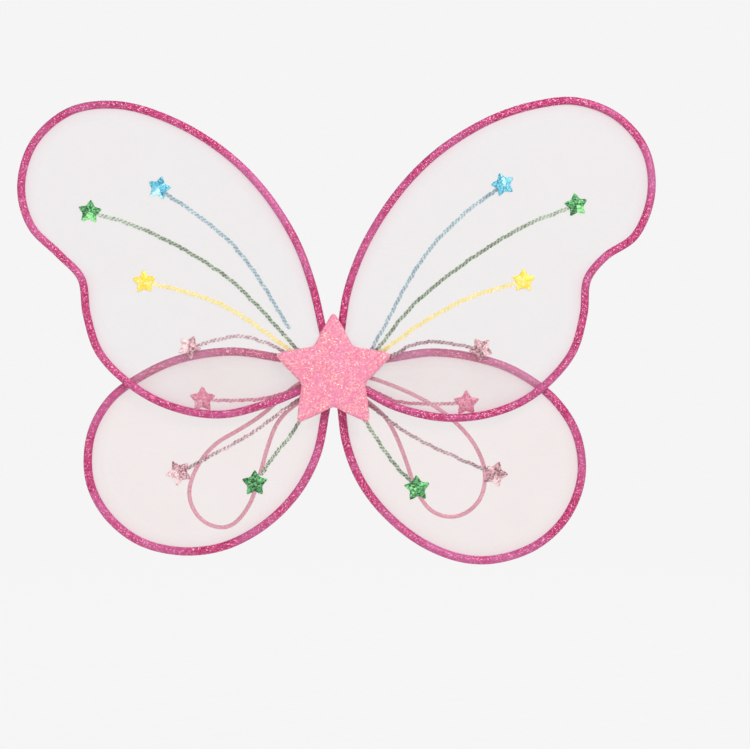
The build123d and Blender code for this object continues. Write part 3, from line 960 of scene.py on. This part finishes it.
def make_arm_loop(side):
    knot, _ = box_of(f"strap_knots_{side}")
    curve = bpy.data.curves.new(f"arm_loop_{side}", "CURVE")
    curve.dimensions = "3D"
    route = [
        (x, knot.y + (abs(x) - abs(knot.x)) * math.tan(STRAP_LEAN), z)
        for x, z in STRAP_ROUTES[side]
    ]
    spline = curve.splines.new("NURBS")
    spline.points.add(len(route) - 1)
    for point, (x, y, z) in zip(spline.points, route):
        point.co = (x, y, z, 1)
    spline.order_u = 3
    spline.use_endpoint_u = True
    curve.resolution_u = 16
    curve.bevel_depth = STRAP_DIAMETER / 2
    curve.bevel_resolution = 6
    curve.use_fill_caps = True
    curve.materials.append(STRAP_GLITTER)
    loop = linked(f"arm_loop_{side}", curve)
    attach(loop, f"{side}_strap")
    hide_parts(f"strap_{side}")
    knots = make_knots(side, route)


def make_knots(side, route):
    """Each end of the elastic turned three times round itself."""
    verts, faces = [], []
    for end in (Vector(route[0]), Vector(route[-1])):
        line = []
        for i in range(KNOT_STEPS + 1):
            t = i / KNOT_STEPS
            angle = 2 * math.pi * KNOT_TURNS * t
            reach = KNOT_WIND * (0.55 + 0.45 * math.sin(math.pi * t))
            rise = (t - 0.5) * KNOT_LENGTH
            line.append(end + Vector((reach * math.cos(angle), reach * math.sin(angle), rise)))
        faces += capped_tube(len(verts), len(line), KNOT_SIDES)
        for i, (p, way) in enumerate(zip(line, directions(line))):
            u = way.orthogonal().normalized() if i == 0 else (u - way * u.dot(way)).normalized()
            v = way.cross(u)
            for k in range(KNOT_SIDES):
                a = 2 * math.pi * k / KNOT_SIDES
                verts.append(p + KNOT_STRAND * (math.cos(a) * u + math.sin(a) * v))
    knots = make_object(f"arm_loop_knots_{side}", verts, faces, STRAP_GLITTER, f"{side}_strap")
    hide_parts(f"strap_knots_{side}")
    return knots


# ---------------- back pad and hub
PAD_CORNER = 6 * MM
PAD_ROLL = 2.4 * MM
PAD_SWELL = 0.8 * MM
CHANNEL_DEPTH = 12 * MM
CHANNEL_WEB = 3 * MM
TAB_REACH = 0.75 * MM  # how far each tab's soft edge reaches on to its knots


def rounded_outline(half_u, half_v, corner, step):
    """A rounded rectangle about the origin, as (u, v) pairs."""
    turns = []
    for quarter, (su, sv) in enumerate([(1, 1), (-1, 1), (-1, -1), (1, -1)]):
        for k in range(7):
            angle = math.pi / 2 * (quarter + k / 6)
            u = su * (half_u - corner) + corner * math.cos(angle)
            v = sv * (half_v - corner) + corner * math.sin(angle)
            turns.append((u, v))
    outline = []
    for a, b in zip(turns, turns[1:] + turns[:1]):
        count = max(1, round(math.dist(a, b) / step))
        for k in range(count):
            t = k / count
            outline.append((a[0] + (b[0] - a[0]) * t, a[1] + (b[1] - a[1]) * t))
    return outline


def drawn_in(outline, way, inset):
    """A closed outline of offsets, facing way, drawn in evenly by inset."""
    inward = []
    for k in range(len(outline)):
        run = outline[(k + 1) % len(outline)] - outline[k - 1]
        inward.append(way.cross(run).normalized())
    facing = sum(a.dot(p) for a, p in zip(inward, outline))
    turn = -inset if facing > 0 else inset
    return [p + a * turn for p, a in zip(outline, inward)]


def soft_slab(outline, middle, thick, edge, grain, steps=6, swell_at=None):
    """A soft slab with rolled edges, half of it thick to each side of middle.

    outline holds offsets from middle, and the rim rolls in by edge. Each face has steps rings,
    and the one on thick's side stands out further by swell_at(offset).
    """
    count = len(outline)
    verts = []
    way = thick.normalized()
    rings = []
    for k in range(9):
        angle = math.pi * k / 8
        ring = drawn_in(outline, way, edge * (1 - math.sin(angle)))
        rings.append([p - thick * math.cos(angle) for p in ring])
    face = drawn_in(outline, way, edge)
    swell_at = swell_at or (lambda p: 0.0)
    for k in range(1, steps):
        share = 1 - k / steps
        rings.insert(0, [p * share - thick for p in face])
        rings.append([p * share + thick + way * swell_at(p * share) for p in face])
    for ring in rings:
        for p in ring:
            rough = grain * noise.noise((middle + p) * 700)
            verts.append(middle + p + way * rough)
    faces = band_faces(len(rings), count)
    verts += [middle - thick, middle + thick + way * swell_at(Vector((0, 0, 0)))]
    last = (len(rings) - 1) * count
    for k in range(count):
        faces.append(((k + 1) % count, k, len(verts) - 2))
        faces.append((last + k, last + (k + 1) % count, len(verts) - 1))
    return verts, faces


STITCH_SIDES = 6
# Each stitch's rings, as (share of its length, share of its radius, lift out of the cloth)
STITCH_RINGS = [(0.0, 0.35, -0.4), (0.2, 1.0, 0.5), (0.8, 1.0, 0.5), (1.0, 0.35, -0.4)]


def stitch_mesh(seams, radius, length, gap):
    """Short rounded stitches along closed or open seams, sunk a little into the cloth."""
    verts, faces = [], []
    for seam, out in seams:
        total = sum((b - a).length for a, b in zip(seam, seam[1:]))
        count = int(total / (length + gap))
        for s in range(count):
            a = along(seam, total * s / count)
            b = along(seam, total * s / count + length)
            way = (b - a).normalized()
            across = way.cross(out)
            faces += capped_tube(len(verts), len(STITCH_RINGS), STITCH_SIDES)
            for t, size, lift in STITCH_RINGS:
                for k in range(STITCH_SIDES):
                    angle = 2 * math.pi * k / STITCH_SIDES
                    arm = across * math.cos(angle) + out * math.sin(angle)
                    verts.append(a.lerp(b, t) + arm * radius * size + out * radius * lift)
    return verts, faces


def along(seam, distance):
    for a, b in zip(seam, seam[1:]):
        length = (b - a).length
        if distance <= length:
            return a.lerp(b, distance / length)
        distance -= length
    return seam[-1].copy()


def make_back_pad():
    """A pillow against the wearer's back, quilted by seams round its face and down its middle."""
    low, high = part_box("back_pad")
    middle, half = (low + high) / 2, (high - low) / 2
    flat = rounded_outline(half.x, half.z, PAD_CORNER, 0.9 * MM)
    outline = [Vector((u, 0, v)) for u, v in flat]
    thick = Vector((0, half.y, 0))
    seam_x, edge_x, edge_z = half.x * 0.3, half.x - PAD_ROLL, half.z - PAD_ROLL

    def swell_at(p):
        """The filling stands out between the seams, and puckers a little along them."""
        if abs(p.x) < seam_x:
            across = math.cos(math.pi / 2 * p.x / seam_x)
        else:
            across = math.sin(math.pi * (abs(p.x) - seam_x) / (edge_x - seam_x))
        ends = min(1.0, max(0.0, (edge_z - abs(p.z)) / (4 * MM)))
        pucker = 1 + 0.35 * noise.noise(Vector((p.x * 60, 0, p.z * 420)))
        return PAD_SWELL * pucker * math.sqrt(max(0.0, across)) * math.sin(math.pi / 2 * ends)

    verts, faces = soft_slab(
        outline, middle, thick, PAD_ROLL, 0.1 * MM, steps=22, swell_at=swell_at
    )
    pad = make_object("back_pad_cushion", verts, faces, PAD_FABRIC, "hub")
    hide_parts("back_pad")
    rear = Vector((middle.x, high.y, middle.z))
    ring = [rear + p for p in drawn_in(outline, DEPTH, PAD_ROLL + 0.4 * MM)]
    seams = [(ring + ring[:1], DEPTH)]
    reach = edge_z - 1.4 * MM
    for x in (-seam_x, seam_x):
        seams.append(([rear + Vector((x, 0, -reach)), rear + Vector((x, 0, reach))], DEPTH))
    verts, faces = stitch_mesh(seams, 0.28 * MM, 1.7 * MM, 0.9 * MM)
    thread = make_object("back_pad_stitches", verts, faces, THREAD, "hub")


def make_channels():
    """The folded felt strips that the root crimps turn in, each with a web to the star."""
    for end in ("upper", "lower"):
        low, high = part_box(f"channel_{end}")
        middle, half = (low + high) / 2, (high - low) / 2
        shoulder = high.y - CHANNEL_DEPTH
        corners = [
            (half.x, high.y), (-half.x, high.y), (-half.x, shoulder), (-CHANNEL_WEB, shoulder),
            (-CHANNEL_WEB, low.y), (CHANNEL_WEB, low.y), (CHANNEL_WEB, shoulder),
            (half.x, shoulder),
        ]
        centre = Vector((middle.x, high.y - CHANNEL_DEPTH / 2, middle.z))
        flat = softened([Vector((x, y, 0)) for x, y in corners], 1.4 * MM, 1.2 * MM)
        outline = [Vector((p.x - centre.x, p.y - centre.y, 0)) for p in flat]
        thick = Vector((0, 0, half.z))
        verts, faces = soft_slab(outline, centre, thick, 0.7 * MM, 0.1 * MM)
        channel = make_object(f"felt_channel_{end}", verts, faces, FELT, "hub")
        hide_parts(f"channel_{end}")


def softened(corners, cut, step):
    """A closed outline with its corners rounded off and its sides broken into short steps."""
    outline = []
    for k, corner in enumerate(corners):
        before, after = corners[k - 1], corners[(k + 1) % len(corners)]
        a = corner + (before - corner).normalized() * cut
        b = corner + (after - corner).normalized() * cut
        outline += [rounded(a, corner, b, s / 4) for s in range(5)]
        c = after + (corner - after).normalized() * cut
        count = max(1, round((c - b).length / step))
        outline += [b.lerp(c, s / count) for s in range(1, count)]
    return outline


def make_strap_tab(side):
    """A ribbon tab from the pad's edge that the loop's knots are sewn to."""
    middle, half = box_of(f"strap_tab_{side}")
    reach = TAB_REACH if side == "right" else -TAB_REACH
    middle.x += reach / 2
    half.x += TAB_REACH / 2
    flat = rounded_outline(half.x, half.z, 1.2 * MM, 0.8 * MM)
    outline = [Vector((u, 0, v)) for u, v in flat]
    thick = Vector((0, half.y, 0))
    verts, faces = soft_slab(outline, middle, thick, 0.5 * MM, 0.08 * MM)
    tab = make_object(f"ribbon_tab_{side}", verts, faces, RIBBON, "hub")
    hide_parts(f"strap_tab_{side}")


def make_felt_stitches():
    """Over-stitches round the rear of the felt, a little in from its edge."""
    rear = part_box("star_backing")[1].y
    corners = star_corners(STAR_TIP_RADIUS - 3.4 * MM, STAR_INNER_RADIUS - 1.9 * MM, 0)
    ring = [p + Vector((0, rear, 0)) for p in soft_outline(corners, 3 * MM, 2 * MM, 0, 14)]
    verts, faces = stitch_mesh([(ring + ring[:1], DEPTH)], 0.25 * MM, 2 * MM, 1.2 * MM)
    thread = make_object("star_felt_stitches", verts, faces, THREAD, "hub")


# ---------------- the whole object
rng = random.Random(7)
for lobe in LOBES:
    tube = make_tube(lobe)
    make_panel(lobe)
    for colour in SPRAYS[lobe]:
        make_small_star(lobe, colour, rng)
        make_strand(lobe, colour, rng)
make_centre_star()
make_star_backing()
make_felt_stitches()
make_back_pad()
make_channels()
for side in STRAP_ROUTES:
    make_strap_tab(side)
    make_arm_loop(side)

# What still shows of the CAD model is bare metal: the root crimps and the frame wires.
for name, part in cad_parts.items():
    if not part.hide_render:
        part.data.materials.clear()
        part.data.materials.append(STEEL)
